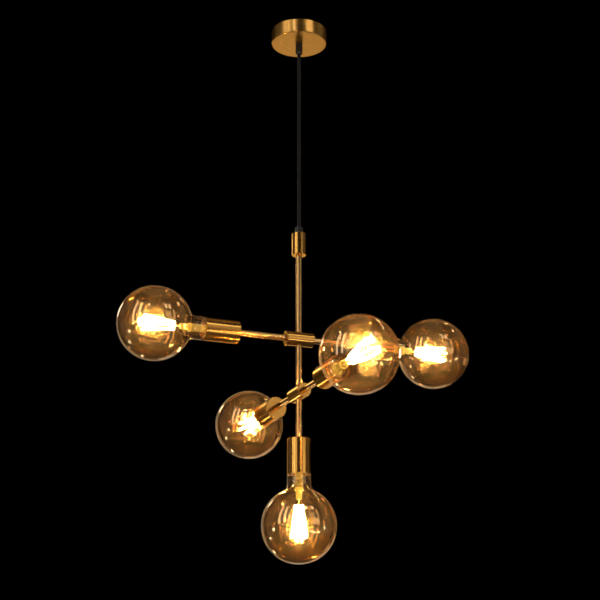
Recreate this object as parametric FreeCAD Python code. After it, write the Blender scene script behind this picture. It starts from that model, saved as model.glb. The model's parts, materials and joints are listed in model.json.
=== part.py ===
"""A hanging lamp: a stem on a cord, two crossed arms at different heights and five globe bulbs.

Millimetres. The origin is the centre of the ceiling plane, +Z points up. The upper arm lies along X
(left is -X, right is +X), the lower arm along Y (front is -Y, back is +Y).
"""

import FreeCAD, Part
import math
import os

V = FreeCAD.Vector
UP = V(0, 0, 1)
DOWN = V(0, 0, -1)

# ---------------------------------------------------------------- driving dimensions

# Canopy and what it covers
CANOPY_D = 100.0
CANOPY_H = 25.0
CANOPY_WALL = 1.2
CANOPY_EDGE = 1.4
BAR_L = 88.0  # offset crossbar: two feet on the ceiling and a lowered middle
BAR_W = 18.0
BAR_T = 2.0
BAR_DROP = 10.0  # ceiling to the top of the lowered middle
BAR_MIDDLE = 40.0
BAR_TAB = 31.0  # how far the side tab reaches from the middle
SLOT_SPACING = 66.0
SLOT_L = 12.0
SLOT_W = 4.6
NIPPLE_BORE = 7.2
NIPPLE_TOP_GAP = 1.5  # how far the nipple stands above the lowered middle
BLOCK_L = 26.0
BLOCK_W = 14.0
BLOCK_H = 8.6
BLOCK_POLES = 3
BLOCK_PITCH = 8.0
BLOCK_WAY_D = 3.2  # the way in for a core
BLOCK_WAY_SHARE = 0.35  # how much of the block's width the way in takes
BLOCK_WELL_D = 4.2
BLOCK_WELL_UP = 1.6  # a well's floor above the middle of its way
BLOCK_NOTCH_W = 1.4  # the notch between two poles
BLOCK_NOTCH_H = 3.0
LEAD_UP = 1.2  # a core's level run above the middle of its way in the block
LEAD_OUT = 5.2  # the stem axis to the end of that run
LEAD_BEND = 1.7
LEAD_BEFORE_BLOCK = 3.0
LEAD_INTO_SHARE = 0.3  # how much of the block's width a core reaches in
EARTH_SCREW_X = -14.0
EARTH_SCREW_D = 4.0
EARTH_SCREW_L = 7.0
EARTH_HEAD_D = 7.2
EARTH_HEAD_H = 2.4
EARTH_HEAD_ROUND = 0.8
EARTH_SLOT = 0.9  # width and depth of its slot

# Threads: a tube's threaded end in a plain threaded hole
THREAD_D = 9.9
THREAD_CLEARANCE = 0.05
NUT_FLATS = 14.0
NUT_T = 3.0
NUT_BEVEL = 0.6
NUT_BEVEL_H = 0.5

# Cord and its grips
CORD_D = 6.5
CORD_L = 340.0
CORD_GAP = 0.3  # round the ball end of the cord, where it swings
CORD_FIT = 0.05  # round the held end of the cord
GRIP_TOP_D = 12.8
GRIP_TOP_L = 20.0
GRIP_TOP_THREAD = 8.5
GRIP_LOW_D = 14.0
GRIP_LOW_L = 12.0
GRIP_ROUND = 2.2
GRIP_MOUTH = 1.0
GRIP_TAIL = 8.0
GRIP_THREAD_SPARE = 0.5  # the upper grip's threaded hole beyond its nipple
SET_SCREW_D = 3.0
SET_SCREW_BEVEL = 0.3
SET_SCREW_SINK = 0.1  # its slotted end below the grip's side
SET_SCREW_SLOT = 0.5
SET_SCREW_SLOT_DEPTH = 0.8
SET_SCREW_TOP_DROP = 12.5  # canopy floor to the upper set screw
SET_SCREW_LOW_DROP = 7.5  # lower mouth to the lower set screw
CORE_D = 1.8
CORE_PITCH = 2.0

# Coupler and stem
COUPLER_D = 25.0
COUPLER_L = 40.0
COUPLER_BORE = 18.0
COUPLER_TOP = 6.0
COUPLER_FLOOR = 8.0
COUPLER_EDGE = 0.6
TURN_GAP = 0.3  # between faces that turn past each other
TUBE_D = 10.5
TUBE_BORE = 8.4
UPPER_RUN = 152.5  # coupler's lower face to the upper arm's axis
ARM_SPACING = 95.0  # upper arm's axis to the lower arm's axis
LOWER_RUN = 79.0  # lower arm's axis to the bottom cup's back face

# Hubs and arms
HUB_D = 25.0
HUB_L = 50.0
HUB_EDGE = 1.0
HUB_THREAD = 13.0
HUB_SEAT = 0.35  # how deep a stem tube's seat is cut into the hub
STEM_THREAD = 4.7
ARM_REACH = 110.5  # stem axis to a cup's back face
WIRE_OFFSET = 2.9  # stem wires from the stem's axis

# Sockets, measured outward from the cup's back face
CUP_D = 39.5
CUP_L = 60.5
CUP_WALL = 1.15
CUP_BACK = 2.0
CUP_EDGE = 1.6
ARM_THREAD = 12.0
HOLDER_GAP = 0.3
HOLDER_L = 49.5
HOLDER_BASE_D = 24.0
HOLDER_TAPER = 8.0
HOLDER_HOLE = 10.5  # depth of the threaded hole in its back
HOLDER_WEB = 10.5
HOLDER_EDGE = 1.0
HOLDER_SHOULDER_ROUND = 2.0
HOLDER_MOUTH_ROUND = 0.6
SHELL_BORE = 26.8
SHELL_T = 0.4
SHELL_L = 26.0
SHELL_FIT = 0.1
CONTACT_H = 5.7
CONTACT_D = 5.2
CONTACT_FOOT_D = 10.0
CONTACT_FOOT_T = 1.0
CONTACT_ROUND = 0.6
SHELL_FLANGE_GAP = 3.0  # centre contact's foot to the shell's flange
BULB_GAP = 0.3  # centre contact to the bulb's tip

# Bulb, measured outward from the tip of its cap
GLOBE_D = 125.0
GLOBE_CENTRE = 113.5
GLASS_T = 0.9
NECK_D = 40.0
NECK_BLEND = 14.0
SHOULDER_R = 7.0
CAP_L = 27.0
CAP_D = 26.2
CAP_ROOT_D = 24.5
CAP_T = 0.35
CAP_PITCH = 3.6
CAP_TURNS = 5
CAP_THREAD_START = 7.0
CAP_CONTACT_D = 9.6
CAP_CONTACT_H = 1.5
CAP_CONTACT_BEVEL = 0.6  # its flat and its straight side, as shares of its radius and height
CAP_WELL = 3.0  # the cap's inner floor above its contact, on the axis
CAP_CONE_START = 1.4  # contact's side to where the insulating cone starts
CAP_CONE_IN = 2.2
CAP_CONE_BELOW = 1.6
CAP_STEP = 0.6  # height of the steps at the two ends of the thread
SHOULDER_GAP = 0.5  # cap's rim to the glass shoulder
GLASS_TAIL = 7.0  # how far the glass reaches into the cap
GLASS_FIT = 0.1
MOUNT_FLARE_T = 2.0
MOUNT_FLARE_ROUND = 3.0
MOUNT_ROUND = 0.5
MOUNT_D = 13.0
MOUNT_L = 31.0
MOUNT_COLLAR_D = 14.6
MOUNT_COLLAR_L = 3.4
MOUNT_COLLAR_RISE = 0.6
MOUNT_COLLAR_ROUND = 1.0
PINCH_D = 10.4
PINCH_L = 16.0
PINCH_RISE = 1.0
PINCH_FOOT_ROUND = 0.8
PINCH_TOP_ROUND = 2.0
ROD_D = 2.6
ROD_FOOT_ROUND = 0.6
ROD_TOP_ROUND = 0.8
FILAMENTS = 6
FILAMENT_D = 2.0
FILAMENT_START = 34.0  # globe centre back to the inner star of wires
FILAMENT_END = 20.0  # globe centre forward to the outer star
FILAMENT_R_IN = 6.5
FILAMENT_R_OUT = 13.0
FILAMENT_TWIST = 32.0  # degrees from the inner star to the outer one
STAR_WIRE_D = 0.8
STAR_GAP = 0.35

# ---------------------------------------------------------------- derived places

THREAD_R = THREAD_D / 2
HOLE_R = THREAD_R + THREAD_CLEARANCE
CORD_R = CORD_D / 2
BALL_R = CORD_R + CORD_GAP
HELD_R = CORD_R + CORD_FIT
TUBE_R = TUBE_D / 2
WAY_R = TUBE_BORE / 2
HUB_R = HUB_D / 2
CORE_R = CORE_D / 2
CUP_BORE_R = CUP_D / 2 - CUP_WALL

Z_FLOOR = -CANOPY_H
Z_TOP_MOUTH = Z_FLOOR - GRIP_TOP_L
Z_LOW_MOUTH = Z_TOP_MOUTH - CORD_L
Z_COUPLER_TOP = Z_LOW_MOUTH - GRIP_LOW_L - TURN_GAP
Z_COUPLER_END = Z_COUPLER_TOP - COUPLER_L
Z_UPPER = Z_COUPLER_END - UPPER_RUN
Z_LOWER = Z_UPPER - ARM_SPACING
Z_BOTTOM = Z_LOWER - LOWER_RUN
Z_BAR = -BAR_DROP
SEAT_DROP = math.sqrt(HUB_R**2 - TUBE_R**2) - HUB_SEAT  # hub axis to a stem tube's seat

NUT_START = CUP_BACK
HOLDER_START = NUT_START + NUT_T
HOLDER_END = HOLDER_START + HOLDER_L
WEB_START = HOLDER_START + HOLDER_HOLE
WEB_END = WEB_START + HOLDER_WEB
SHELL_R = SHELL_BORE / 2
BULB_START = WEB_END + CONTACT_H + BULB_GAP

# Where each socket starts and which way it faces
SOCKETS = {
    "left": (V(-ARM_REACH, 0, Z_UPPER), V(-1, 0, 0)),
    "right": (V(ARM_REACH, 0, Z_UPPER), V(1, 0, 0)),
    "front": (V(0, -ARM_REACH, Z_LOWER), V(0, -1, 0)),
    "back": (V(0, ARM_REACH, Z_LOWER), V(0, 1, 0)),
    "bottom": (V(0, 0, Z_BOTTOM), DOWN),
}
UPPER_SOCKETS = ("left", "right")
LOWER_SOCKETS = ("front", "back", "bottom")


# ---------------------------------------------------------------- small helpers


def cylinder(diameter, start, end):
    """A round bar from start to end."""
    along = end - start
    return Part.makeCylinder(diameter / 2, along.Length, start, along)


def ring(outer_d, inner_d, start, end):
    """A tube from start to end."""
    reach = (end - start).normalize()
    return cylinder(outer_d, start, end).cut(cylinder(inner_d, start - reach, end + reach))


def corner_arc(before, corner, after, radius):
    """The two ends and the middle of the round that replaces a corner of an outline."""
    a = (before - corner).normalize()
    b = (after - corner).normalize()
    half = a.getAngle(b) / 2
    reach = radius / math.tan(half)
    centre = corner + (a + b).normalize() * (radius / math.sin(half))
    middle = centre + (corner - centre).normalize() * radius
    return corner + a * reach, middle, corner + b * reach


def outline(corners):
    """A closed wire in the XZ plane through (radius, height) corners; a third number rounds one."""
    points = [V(c[0], 0, c[1]) for c in corners]
    count = len(points)
    edges = []
    arcs = {}
    for i, c in enumerate(corners):
        if len(c) == 3:
            arcs[i] = corner_arc(points[i - 1], points[i], points[(i + 1) % count], c[2])
    for i in range(count):
        j = (i + 1) % count
        start = arcs[i][2] if i in arcs else points[i]
        end = arcs[j][0] if j in arcs else points[j]
        if (end - start).Length > 1e-6:
            edges.append(Part.LineSegment(start, end).toShape())
        if j in arcs:
            edges.append(Part.Arc(*arcs[j]).toShape())
    return Part.Wire(edges)


def spun(wire):
    """The solid that a closed wire in the XZ plane sweeps round the Z axis."""
    return Part.Face(wire).revolve(V(0, 0, 0), UP, 360)


def turned(corners):
    """A turned solid from the outline of its section."""
    return spun(outline(corners))


def placed(shape, start, direction):
    """A copy of a shape made along +Z from the origin, moved to start and facing direction."""
    moved = shape.copy()
    moved.Placement = FreeCAD.Placement(start, FreeCAD.Rotation(UP, direction))
    return moved


def hex_nut(start, direction):
    """A hexagon nut on a threaded tube."""
    corner_r = NUT_FLATS / math.sqrt(3)
    turns = [k * math.pi / 3 for k in range(7)]
    corners = [V(corner_r * math.cos(a), corner_r * math.sin(a), 0) for a in turns]
    body = Part.Face(Part.makePolygon(corners)).extrude(UP * NUT_T)
    bevel = turned(
        [
            (0, 0),
            (corner_r - NUT_BEVEL, 0),
            (corner_r, NUT_BEVEL_H),
            (corner_r, NUT_T - NUT_BEVEL_H),
            (corner_r - NUT_BEVEL, NUT_T),
            (0, NUT_T),
        ]
    )
    bore = cylinder(2 * HOLE_R, V(0, 0, -1), V(0, 0, NUT_T + 1))
    return placed(body.common(bevel).cut(bore), start, direction)


def swept(points, bend, diameter):
    """A round wire along straight runs that are joined by arcs of the radius bend."""
    edges = []
    start = points[0]
    for i in range(1, len(points) - 1):
        first, middle, last = corner_arc(points[i - 1], points[i], points[i + 1], bend)
        edges.append(Part.LineSegment(start, first).toShape())
        edges.append(Part.Arc(first, middle, last).toShape())
        start = last
    edges.append(Part.LineSegment(start, points[-1]).toShape())
    section = Part.Wire(Part.Circle(points[0], points[1] - points[0], diameter / 2).toShape())
    return Part.Wire(edges).makePipeShell([section], True, False)


def group(solids):
    """Several separate solids of one node."""
    return Part.Compound(solids)


# ---------------------------------------------------------------- canopy


def canopy_cup():
    """The brass cup, open upward, with a hole for the nipple."""
    outer = CANOPY_D / 2
    inner = outer - CANOPY_WALL
    floor = Z_FLOOR + CANOPY_WALL
    return turned(
        [
            (HOLE_R, Z_FLOOR),
            (outer, Z_FLOOR, CANOPY_EDGE),
            (outer, 0),
            (inner, 0),
            (inner, floor, CANOPY_EDGE / 2),
            (HOLE_R, floor),
        ]
    )


def slot(x):
    """A cutter for one screw slot along X."""
    half = SLOT_L / 2 - SLOT_W / 2
    ends = [cylinder(SLOT_W, V(x + s * half, 0, -BAR_T - 1), V(x + s * half, 0, 1)) for s in (-1, 1)]
    middle = Part.makeBox(2 * half, SLOT_W, BAR_T + 2, V(x - half, -SLOT_W / 2, -BAR_T - 1))
    return ends[0].fuse(ends[1]).fuse(middle)


def crossbar():
    """The offset crossbar: feet on the ceiling, legs, lowered middle and the terminal block's tab."""
    half = BAR_L / 2
    middle = BAR_MIDDLE / 2
    low = Z_BAR - BAR_T
    strip = [
        (-half, 0),
        (-middle, 0),
        (-middle, Z_BAR),
        (middle, Z_BAR),
        (middle, 0),
        (half, 0),
        (half, -BAR_T),
        (middle + BAR_T, -BAR_T),
        (middle + BAR_T, low),
        (-middle - BAR_T, low),
        (-middle - BAR_T, -BAR_T),
        (-half, -BAR_T),
    ]
    profile = Part.makePolygon([V(x, -BAR_W / 2, z) for x, z in strip + strip[:1]])
    bar = Part.Face(profile).extrude(V(0, BAR_W, 0))
    tab = Part.makeBox(BLOCK_L, BAR_TAB, BAR_T, V(-BLOCK_L / 2, 0, low))
    bar = bar.fuse(tab).removeSplitter()
    for x in (-SLOT_SPACING / 2, SLOT_SPACING / 2):
        bar = bar.cut(slot(x))
    bar = bar.cut(cylinder(2 * HOLE_R, V(0, 0, low - 1), V(0, 0, Z_BAR + 1)))
    earth_hole = EARTH_SCREW_D + 2 * THREAD_CLEARANCE
    return bar.cut(cylinder(earth_hole, V(EARTH_SCREW_X, 0, low - 1), V(EARTH_SCREW_X, 0, Z_BAR + 1)))


def crossbar_nipple():
    """The hollow threaded tube from the crossbar to the cord grip."""
    return ring(THREAD_D, NIPPLE_BORE, V(0, 0, Z_FLOOR - GRIP_TOP_THREAD), V(0, 0, Z_BAR + NIPPLE_TOP_GAP))


def nipple_nuts():
    """One nut under the crossbar and one on the canopy's floor."""
    under_bar = hex_nut(V(0, 0, Z_BAR - BAR_T - NUT_T), UP)
    on_floor = hex_nut(V(0, 0, Z_FLOOR + CANOPY_WALL), UP)
    return group([under_bar, on_floor])


def earth_screw():
    """The pan head screw for the earth conductor."""
    shank_r = EARTH_SCREW_D / 2
    head_r = EARTH_HEAD_D / 2
    screw = turned(
        [
            (0, -EARTH_SCREW_L),
            (shank_r, -EARTH_SCREW_L),
            (shank_r, 0),
            (head_r, 0),
            (head_r, EARTH_HEAD_H, EARTH_HEAD_ROUND),
            (0, EARTH_HEAD_H),
        ]
    )
    slot_corner = V(-head_r - 1, -EARTH_SLOT / 2, EARTH_HEAD_H - EARTH_SLOT)
    slot_cut = Part.makeBox(EARTH_HEAD_D + 2, EARTH_SLOT, EARTH_SLOT + 1, slot_corner)
    return placed(screw.cut(slot_cut), V(EARTH_SCREW_X, 0, Z_BAR), UP)


def pole_x(index):
    """The place along X of one pole of the terminal block."""
    return (index - (BLOCK_POLES - 1) / 2) * BLOCK_PITCH


def terminal_block():
    """The insulated block on the crossbar's tab, with a way in and a screw well at each pole."""
    back = BAR_TAB - BLOCK_W
    middle = back + BLOCK_W / 2
    level = Z_BAR + BLOCK_H / 2
    top = Z_BAR + BLOCK_H
    block = Part.makeBox(BLOCK_L, BLOCK_W, BLOCK_H, V(-BLOCK_L / 2, back, Z_BAR))
    for i in range(BLOCK_POLES):
        x = pole_x(i)
        way_end = V(x, back + BLOCK_W * BLOCK_WAY_SHARE, level)
        block = block.cut(cylinder(BLOCK_WAY_D, V(x, back - 1, level), way_end))
        well_floor = V(x, middle, level + BLOCK_WELL_UP)
        block = block.cut(cylinder(BLOCK_WELL_D, well_floor, V(x, middle, top + 1)))
    for i in range(BLOCK_POLES - 1):
        x = (pole_x(i) + pole_x(i + 1)) / 2
        corner = V(x - BLOCK_NOTCH_W / 2, back - 1, top - BLOCK_NOTCH_H)
        block = block.cut(Part.makeBox(BLOCK_NOTCH_W, BLOCK_W + 2, BLOCK_NOTCH_H, corner))
    return block


def supply_leads():
    """The cord's three cores from the nipple to the terminal block."""
    level = Z_BAR + BLOCK_H / 2
    front = BAR_TAB - BLOCK_W
    into = front + BLOCK_W * LEAD_INTO_SHARE
    rise = Z_BAR + NIPPLE_TOP_GAP - CORE_D
    leads = []
    for i in range(BLOCK_POLES):
        x = (i - (BLOCK_POLES - 1) / 2) * CORE_PITCH
        points = [
            V(x, 0, rise),
            V(x, 0, level + LEAD_UP),
            V(x, LEAD_OUT, level + LEAD_UP),
            V(pole_x(i), front - LEAD_BEFORE_BLOCK, level),
            V(pole_x(i), into, level),
        ]
        leads.append(swept(points, LEAD_BEND, CORE_D))
    return group(leads)


def cord_tail_top():
    """The held end of the cord, from its swinging end up through the grip and the nipple."""
    start = Z_TOP_MOUTH + BALL_R
    return cylinder(CORD_D, V(0, 0, start), V(0, 0, Z_BAR + NIPPLE_TOP_GAP - CORE_D))


def grip(diameter, length, tail):
    """A cord grip along +Z: round mouth at the origin, seat at its length, threaded tail beyond.

    A tail below 0 is the depth of a threaded hole instead.
    """
    outer = diameter / 2
    neck = 2 * BALL_R
    thread_r = THREAD_R if tail > 0 else HOLE_R
    return turned(
        [
            (HELD_R, neck),
            (BALL_R, neck),
            (BALL_R, 0, GRIP_MOUTH),
            (outer, 0, GRIP_ROUND),
            (outer, length),
            (thread_r, length),
            (thread_r, length + tail),
            (HELD_R, length + tail),
        ]
    )


def set_screw_cut(drop):
    """A cutter for a set screw's hole, square to a grip's axis."""
    return cylinder(SET_SCREW_D + 2 * THREAD_CLEARANCE, V(0, -GRIP_LOW_D, drop), V(0, 0, drop))


def set_screw(z, grip_d):
    """A slotted set screw that holds the cord."""
    length = grip_d / 2 - HELD_R - SET_SCREW_SINK
    radius = SET_SCREW_D / 2
    bevel = SET_SCREW_BEVEL
    screw = turned([(0, 0), (radius - bevel, 0), (radius, bevel), (radius, length), (0, length)])
    slot_corner = V(-radius - 0.5, -SET_SCREW_SLOT / 2, length - SET_SCREW_SLOT_DEPTH)
    slot_cut = Part.makeBox(SET_SCREW_D + 1, SET_SCREW_SLOT, SET_SCREW_SLOT_DEPTH + 1, slot_corner)
    return placed(screw.cut(slot_cut), V(0, -HELD_R, z), V(0, -1, 0))


def cord_grip_top():
    """The black grip under the canopy, screwed on the nipple."""
    body = grip(GRIP_TOP_D, GRIP_TOP_L, -GRIP_TOP_THREAD - GRIP_THREAD_SPARE)
    body = placed(body, V(0, 0, Z_TOP_MOUTH), UP)
    return body.cut(set_screw_cut(Z_FLOOR - SET_SCREW_TOP_DROP))


def cord_grip_bottom():
    """The black grip on the coupler, with its threaded tail."""
    body = grip(GRIP_LOW_D, GRIP_LOW_L, GRIP_TAIL)
    body = placed(body, V(0, 0, Z_LOW_MOUTH), DOWN)
    return body.cut(set_screw_cut(Z_LOW_MOUTH - SET_SCREW_LOW_DROP))


def cord_tail_bottom():
    """The held end of the cord inside the lower grip."""
    start = Z_LOW_MOUTH - BALL_R
    return cylinder(CORD_D, V(0, 0, start), V(0, 0, Z_LOW_MOUTH - GRIP_LOW_L - GRIP_TAIL))


# The cord hangs straight between the two mouths
CORD_ROUTE = [V(0, 0, Z_TOP_MOUTH), V(0, 0, Z_LOW_MOUTH)]


def cord():
    """The visible cord, with a ball end in each mouth."""
    tube = cylinder(CORD_D, CORD_ROUTE[0], CORD_ROUTE[1])
    section = math.pi * CORD_R**2
    run = (CORD_ROUTE[1] - CORD_ROUTE[0]).Length
    ratio = tube.Volume / (section * run)
    print(f"cord: one straight run of {run:.1f} mm, no bends, volume ratio {ratio:.4f}")
    for end in CORD_ROUTE:
        tube = tube.fuse(Part.makeSphere(CORD_R, end))
    return tube


# ---------------------------------------------------------------- coupler, stem, hubs and arms


def coupler():
    """The brass cylinder between the lower grip and the stem, hollow for the wire joints."""
    outer = COUPLER_D / 2
    bore = COUPLER_BORE / 2
    top = Z_COUPLER_TOP
    end = Z_COUPLER_END
    return turned(
        [
            (HOLE_R, top),
            (HOLE_R, top - COUPLER_TOP),
            (bore, top - COUPLER_TOP),
            (bore, end + COUPLER_FLOOR),
            (HOLE_R, end + COUPLER_FLOOR),
            (HOLE_R, end),
            (outer, end, COUPLER_EDGE),
            (outer, top, COUPLER_EDGE),
        ]
    )


def tube(start, end, thread_start, thread_end):
    """A tube from start to end with a threaded length beyond each of them."""
    along = (end - start).normalize()
    first = start - along * thread_start
    last = end + along * thread_end
    body = cylinder(TUBE_D, start, end).fuse(cylinder(THREAD_D, first, last))
    return body.cut(cylinder(TUBE_BORE, first - along, last + along))


def stem_upper():
    """From the coupler to the upper hub."""
    seat = V(0, 0, Z_UPPER + SEAT_DROP)
    return tube(V(0, 0, Z_COUPLER_END), seat, COUPLER_FLOOR, STEM_THREAD)


def stem_middle():
    """From the upper hub to the lower one, which turns on its end."""
    end = V(0, 0, Z_LOWER + SEAT_DROP + TURN_GAP)
    return tube(V(0, 0, Z_UPPER - SEAT_DROP), end, STEM_THREAD, STEM_THREAD)


def stem_lower():
    """From the lower hub to the bottom socket."""
    return tube(V(0, 0, Z_LOWER - SEAT_DROP), V(0, 0, Z_BOTTOM), STEM_THREAD, ARM_THREAD)


def arm(name):
    """From a hub's end face to a cup."""
    start, direction = SOCKETS[name]
    hub_face = start - direction * (ARM_REACH - HUB_L / 2)
    return tube(hub_face, start, HUB_THREAD - 1, ARM_THREAD)


def hub(z, direction, top_gap):
    """A short cylinder along an arm, bored for two arm tubes and two stem tubes."""
    half = HUB_L / 2
    body = turned([(0, -half), (HUB_R, -half, HUB_EDGE), (HUB_R, half, HUB_EDGE), (0, half)])
    body = placed(body, V(0, 0, z), direction)
    centre = V(0, 0, z)
    for way in (direction, direction * -1):
        face = centre + way * half
        body = body.cut(cylinder(2 * HOLE_R, face + way, face - way * HUB_THREAD))
    body = body.cut(cylinder(TUBE_BORE, centre - direction * half, centre + direction * half))
    for way, gap in ((UP, top_gap), (DOWN, THREAD_CLEARANCE)):
        seat = centre + way * SEAT_DROP
        body = body.cut(cylinder(TUBE_D + 2 * gap, seat, centre + way * (HUB_R + 1)))
        body = body.cut(cylinder(2 * HOLE_R, centre, seat + way))
    return body


def core_pair(start, end, offset):
    """Two conductors side by side, each moved by offset from the line start to end."""
    return [cylinder(CORE_D, start + side, end + side) for side in (offset, offset * -1)]


def upper_wires():
    """The conductors of the stem above the lower hub, and those of the upper arm."""
    web = ARM_REACH + WEB_START
    arm_offset = V(0, CORE_PITCH / 2, 0)
    stem_offset = V(0, WIRE_OFFSET, 0)
    clear = CORE_R + CORD_GAP
    top = Z_LOW_MOUTH - GRIP_LOW_L - GRIP_TAIL - CORD_GAP
    wires = core_pair(V(-web, 0, Z_UPPER), V(web, 0, Z_UPPER), arm_offset)
    wires += core_pair(V(0, 0, top), V(0, 0, Z_UPPER + clear), stem_offset)
    wires += core_pair(V(0, 0, Z_UPPER - clear), V(0, 0, Z_LOWER + clear), stem_offset)
    return group(wires)


def lower_wires():
    """The conductors of the lower arm and of the stem below it."""
    web = ARM_REACH + WEB_START
    arm_offset = V(CORE_PITCH / 2, 0, 0)
    stem_offset = V(WIRE_OFFSET, 0, 0)
    clear = CORE_R + CORD_GAP
    wires = core_pair(V(0, -web, Z_LOWER), V(0, web, Z_LOWER), arm_offset)
    wires += core_pair(V(0, 0, Z_LOWER - clear), V(0, 0, Z_BOTTOM - WEB_START), stem_offset)
    return group(wires)


# ---------------------------------------------------------------- sockets


def socket_cup():
    """The brass cup round a lamp holder, open at its rim."""
    outer = CUP_D / 2
    return turned(
        [
            (HOLE_R, 0),
            (outer, 0, CUP_EDGE),
            (outer, CUP_L),
            (CUP_BORE_R, CUP_L),
            (CUP_BORE_R, CUP_BACK, CUP_EDGE / 2),
            (HOLE_R, CUP_BACK),
        ]
    )


def lamp_holder():
    """The insulating body: a threaded hole behind, a web, and the mouth for the bulb's cap."""
    outer = CUP_BORE_R - HOLDER_GAP
    mouth = SHELL_R + SHELL_T + SHELL_FIT
    return turned(
        [
            (0, WEB_START),
            (HOLE_R, WEB_START),
            (HOLE_R, HOLDER_START),
            (HOLDER_BASE_D / 2, HOLDER_START, HOLDER_EDGE),
            (outer, HOLDER_START + HOLDER_TAPER, HOLDER_SHOULDER_ROUND),
            (outer, HOLDER_END, HOLDER_EDGE),
            (mouth, HOLDER_END, HOLDER_MOUTH_ROUND),
            (mouth, WEB_END),
            (0, WEB_END),
        ]
    )


def holder_contacts():
    """The screw shell and the centre contact of one holder."""
    outer = SHELL_R + SHELL_T
    foot = CONTACT_FOOT_D / 2
    flange = foot + SHELL_FLANGE_GAP
    base = WEB_END
    shell = turned(
        [
            (flange, base),
            (outer, base),
            (outer, base + SHELL_L),
            (SHELL_R, base + SHELL_L),
            (SHELL_R, base + CONTACT_FOOT_T),
            (flange, base + CONTACT_FOOT_T),
        ]
    )
    contact = turned(
        [
            (0, base),
            (foot, base),
            (foot, base + CONTACT_FOOT_T),
            (CONTACT_D / 2, base + CONTACT_FOOT_T),
            (CONTACT_D / 2, base + CONTACT_H, CONTACT_ROUND),
            (0, base + CONTACT_H),
        ]
    )
    return [shell, contact]


# ---------------------------------------------------------------- bulbs


def globe_section(inset):
    """The points of the glass outline, moved inward by inset: tail, shoulder, neck, blend, globe."""
    neck = NECK_D / 2
    shoulder = V(neck - SHOULDER_R, 0, CAP_L + SHOULDER_GAP + SHOULDER_R)
    blend_r = NECK_BLEND + inset
    globe_r = GLOBE_D / 2 - inset
    centres = GLOBE_D / 2 + NECK_BLEND
    side = neck + NECK_BLEND
    blend = V(side, 0, GLOBE_CENTRE - math.sqrt(centres**2 - side**2))
    globe = V(0, 0, GLOBE_CENTRE)
    meet = globe + (blend - globe) * (globe_r / centres)
    arc_r = SHOULDER_R - inset
    low = shoulder + V(0, 0, -arc_r)
    low_mid = shoulder + V(math.sin(math.pi / 4) * arc_r, 0, -math.cos(math.pi / 4) * arc_r)
    high = shoulder + V(arc_r, 0, 0)
    neck_end = V(blend.x - blend_r, 0, blend.z)
    to_meet = (meet - blend).normalize()
    blend_mid = blend + (to_meet + V(-1, 0, 0)).normalize() * blend_r
    tip = globe + V(0, 0, globe_r)
    side_mid = globe + (meet - globe + (tip - globe)).normalize() * globe_r
    if (side_mid - globe).x < 0:
        side_mid = globe - (side_mid - globe)
    edges = [
        Part.Arc(low, low_mid, high).toShape(),
        Part.LineSegment(high, neck_end).toShape(),
        Part.Arc(neck_end, blend_mid, meet).toShape(),
        Part.Arc(meet, side_mid, tip).toShape(),
    ]
    return low, edges, tip


def bulb_glass():
    """The thin globe with its neck, rounded shoulder and the tail that sits in the cap."""
    tail_r = CAP_D / 2 - 3 * CAP_T - GLASS_FIT
    outer_low, outer_edges, outer_tip = globe_section(0)
    inner_low, inner_edges, inner_tip = globe_section(GLASS_T)
    tail_end = CAP_L - GLASS_TAIL
    outside = [V(tail_r, 0, outer_low.z), V(tail_r, 0, tail_end)]
    inside = [V(tail_r - GLASS_T, 0, tail_end), V(tail_r - GLASS_T, 0, inner_low.z)]
    path = [outer_low] + outside + inside + [inner_low]
    edges = [Part.LineSegment(a, b).toShape() for a, b in zip(path, path[1:])]
    edges += outer_edges + inner_edges + [Part.LineSegment(outer_tip, inner_tip).toShape()]
    return spun(Part.Wire(Part.__sortEdges__(edges)))


def cap_thread(start):
    """The rounded crests and roots of the cap's screw thread, as arcs up its side."""
    crest = CAP_D / 2
    root = CAP_ROOT_D / 2
    middle = (crest + root) / 2
    step = CAP_PITCH / 4
    edges = []
    for k in range(CAP_TURNS):
        for radius, z in ((crest, start + k * CAP_PITCH), (root, start + k * CAP_PITCH + 2 * step)):
            ends = V(middle, 0, z), V(middle, 0, z + 2 * step)
            edges.append(Part.Arc(ends[0], V(radius, 0, z + step), ends[1]).toShape())
    return middle, edges


def bulb_cap():
    """The screw cap: skirt, thread, insulating cone and centre contact."""
    middle, thread = cap_thread(CAP_THREAD_START)
    top = CAP_THREAD_START + CAP_TURNS * CAP_PITCH
    skirt = CAP_D / 2
    tail_bore = skirt - 3 * CAP_T
    bore = CAP_ROOT_D / 2 - CAP_T
    contact = CAP_CONTACT_D / 2
    well = V(0, 0, CAP_CONTACT_H + CAP_WELL)
    below = [
        well,
        V(0, 0, 0),
        V(contact * CAP_CONTACT_BEVEL, 0, 0),
        V(contact, 0, CAP_CONTACT_H * CAP_CONTACT_BEVEL),
        V(contact, 0, CAP_CONTACT_H),
        V(contact + CAP_CONE_START, 0, CAP_CONTACT_H),
        V(middle - CAP_CONE_IN, 0, CAP_THREAD_START - CAP_CONE_BELOW),
        V(middle, 0, CAP_THREAD_START - CAP_STEP),
        V(middle, 0, CAP_THREAD_START),
    ]
    above = [
        V(middle, 0, top),
        V(skirt, 0, top + CAP_STEP),
        V(skirt, 0, CAP_L),
        V(tail_bore, 0, CAP_L),
        V(tail_bore, 0, CAP_L - GLASS_TAIL - GLASS_FIT),
        V(bore, 0, CAP_L - GLASS_TAIL - GLASS_FIT),
        V(bore, 0, CAP_THREAD_START),
        well,
    ]
    edges = [Part.LineSegment(a, b).toShape() for a, b in zip(below, below[1:])] + thread
    edges += [Part.LineSegment(a, b).toShape() for a, b in zip(above, above[1:])]
    return spun(Part.Wire(edges))


def star_point(radius, height, degrees):
    """A point on one star of support wires."""
    a = math.radians(degrees)
    return V(radius * math.cos(a), radius * math.sin(a), height)


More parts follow.
